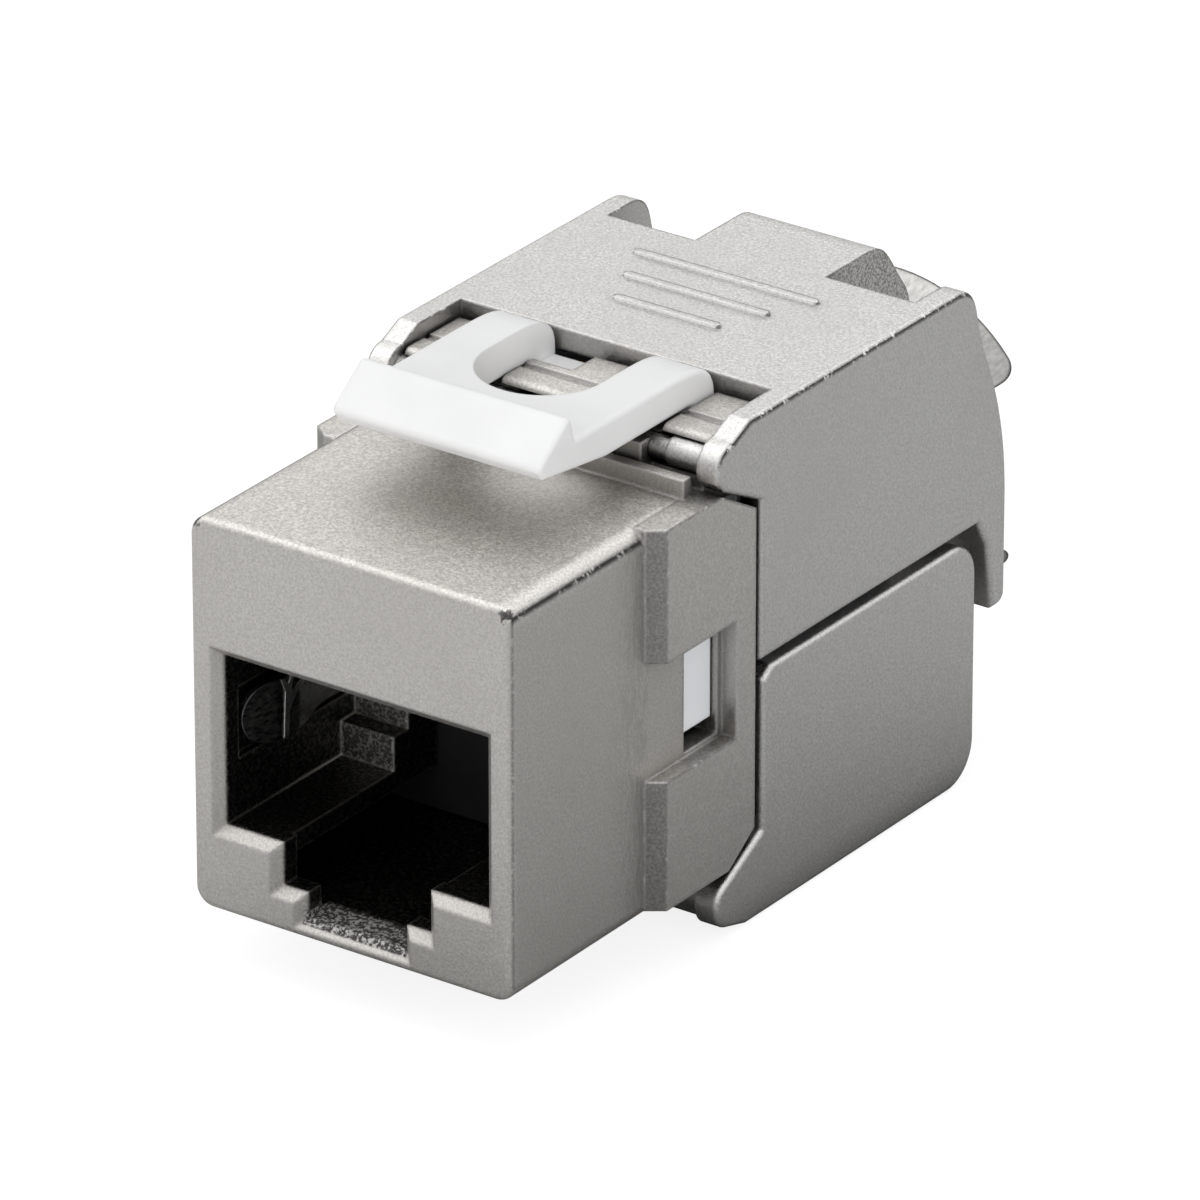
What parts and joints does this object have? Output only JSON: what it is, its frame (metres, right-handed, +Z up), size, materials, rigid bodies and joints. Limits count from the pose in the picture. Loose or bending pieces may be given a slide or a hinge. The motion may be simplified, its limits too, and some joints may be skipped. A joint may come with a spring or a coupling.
{
  "type": "shielded keystone jack",
  "caption": "Shielded modular keystone jack: cast metal box with a front plug port, a sprung panel latch, and two hinged rear covers that close over the wire forks round the cable.",
  "frame": {"origin": "under the middle of the jack: centre of the bounding box in plan, at the underside of the lower cover", "axes": "+Z up, -Y out of the plug port, +Y towards the cable, +X to the right when seen from behind the jack"},
  "size_m": [0.0162, 0.0356, 0.0224],
  "materials": {
    "cast_metal": "satin nickel plate over a fine-grained zinc casting",
    "spring_steel": "bright rolled spring steel",
    "white_latch": "soft white moulding",
    "pale_plastic": "pale, slightly milky moulding",
    "dark_plastic": "fine matt",
    "board": "green solder mask",
    "gold_contact": "gold plate",
    "tinned_bronze": "tin plate over bronze"
  },
  "bodies": {
    "housing": {"front_housing": "cast_metal", "contact_carrier": "dark_plastic", "circuit_board": "board", "idc_block": "pale_plastic", "wire_manager": "pale_plastic", "shield_spring_right": "tinned_bronze", "shield_spring_left": "tinned_bronze", "contact_1": "gold_contact", "contact_2": "gold_contact", "contact_3": "gold_contact", "contact_4": "gold_contact", "contact_5": "gold_contact", "contact_6": "gold_contact", "contact_7": "gold_contact", "contact_8": "gold_contact", "idc_fork_1": "tinned_bronze", "idc_fork_2": "tinned_bronze", "idc_fork_3": "tinned_bronze", "idc_fork_4": "tinned_bronze", "idc_fork_5": "tinned_bronze", "idc_fork_6": "tinned_bronze", "idc_fork_7": "tinned_bronze", "idc_fork_8": "tinned_bronze"},
    "latch": {"latch_clip": "white_latch"},
    "upper_cover": {"upper_cover": "cast_metal", "upper_collar": "spring_steel"},
    "lower_cover": {"lower_cover": "cast_metal", "lower_collar": "spring_steel"}
  },
  "joints": [
    {"name": "upper_cover_hinge", "type": "hinge", "parent": "housing", "child": "upper_cover", "pos_m": [0, -0.0048, 0.0192], "axis": [1, 0, 0], "range_deg": [0, 70]},
    {"name": "lower_cover_hinge", "type": "hinge", "parent": "housing", "child": "lower_cover", "pos_m": [0, -0.0048, 0.0013], "axis": [-1, 0, 0], "range_deg": [0, 70]},
    {"name": "latch_press", "type": "hinge", "parent": "housing", "child": "latch", "pos_m": [0, -0.00182, 0.0188], "axis": [1, 0, 0], "range_deg": [0, 4.5], "stiffness_Nm_per_rad": 0.02}
  ]
}
